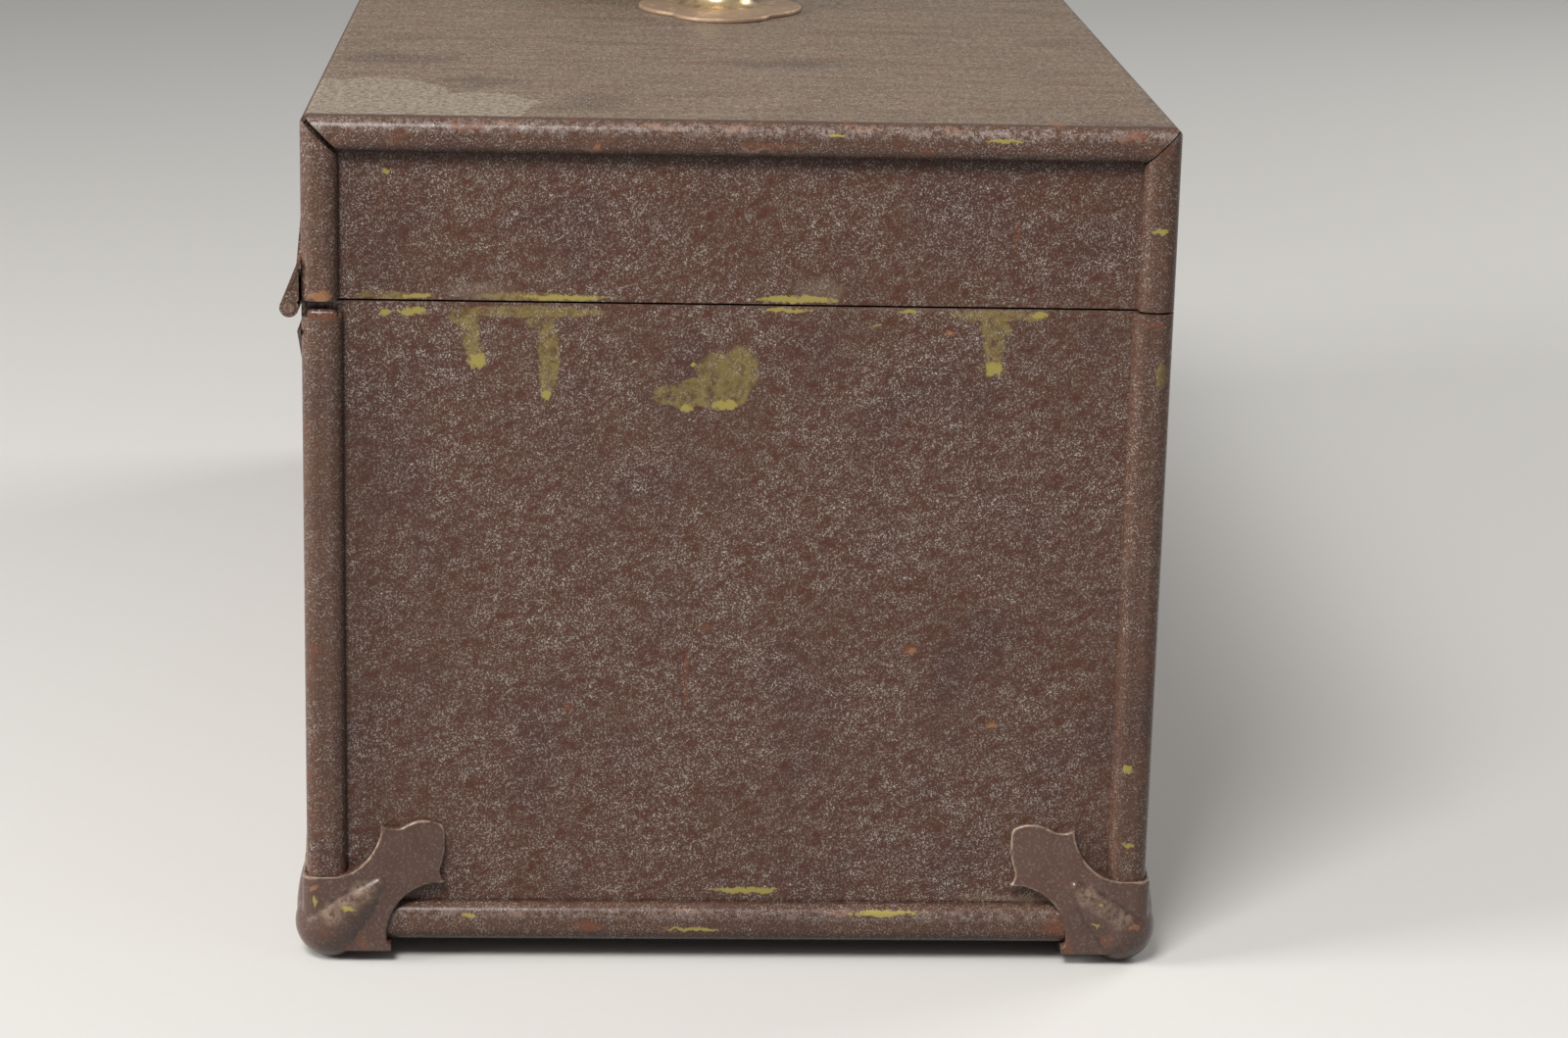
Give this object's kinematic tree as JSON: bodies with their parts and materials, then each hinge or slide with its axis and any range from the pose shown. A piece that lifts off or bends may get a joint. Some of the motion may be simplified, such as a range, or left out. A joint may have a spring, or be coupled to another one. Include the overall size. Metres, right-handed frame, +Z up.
{
  "type": "tin money box",
  "caption": "Long folded-tin box with rolled end beads, cast corner feet, a full-length back hinge, a locking lid and a drop handle on lobed plates.",
  "frame": {"origin": "on the floor, under the middle of the box", "axes": "+X along the box to the right as seen from the lock side, +Y from the lock side to the hinge side, +Z up"},
  "size_m": [0.3846, 0.1559, 0.164],
  "materials": {
    "brown_enamel": "brown stippled enamel, rubbed and speckled",
    "foot_enamel": "smooth brown enamel on castings, rubbed on the high spots",
    "bronzed_plate": "browned plate with bright rubbed edges",
    "worn_brass": "worn plating over brass",
    "dark_handle": "dark enamel, satin",
    "steel": "dull bare steel",
    "lock_brass": "dull brass"
  },
  "bodies": {
    "box": {"body_wrapper": "brown_enamel", "body_end_left": "brown_enamel", "body_end_right": "brown_enamel", "foot_front_left": "foot_enamel", "foot_front_right": "foot_enamel", "foot_back_left": "foot_enamel", "foot_back_right": "foot_enamel", "hinge_leaf_body": "brown_enamel", "hinge_pin": "steel", "hinge_rivets_body": "brown_enamel", "lock_plate": "steel", "lock_case": "steel", "bolt_stumps": "steel", "bolt_spring": "steel", "key_pin": "steel", "lock_rivets": "brown_enamel"},
    "lid": {"lid_wrapper": "brown_enamel", "lid_end_left": "brown_enamel", "lid_end_right": "brown_enamel", "hinge_leaf_lid": "brown_enamel", "hinge_rivets_lid": "brown_enamel", "handle_plate_left": "bronzed_plate", "handle_plate_right": "bronzed_plate", "handle_post_left": "worn_brass", "handle_post_right": "worn_brass", "handle_washers": "steel", "lock_staple": "steel", "staple_rivets": "brown_enamel"},
    "bail": {"handle_bail": "dark_handle"},
    "bolt": {"lock_bolt": "lock_brass"}
  },
  "joints": [
    {"name": "lid_hinge", "type": "hinge", "parent": "box", "child": "lid", "pos_m": [0, 0.07695, 0.1189], "axis": [-1, 0, 0], "range_deg": [0, 180]},
    {"name": "bail_pivot", "type": "hinge", "parent": "lid", "child": "bail", "pos_m": [0, 0, 0.1584], "axis": [1, 0, 0], "range_deg": [0, 185.7]},
    {"name": "bolt_slide", "type": "slide", "parent": "box", "child": "bolt", "axis": [-1, 0, 0], "range_m": [0, 0.006]}
  ]
}
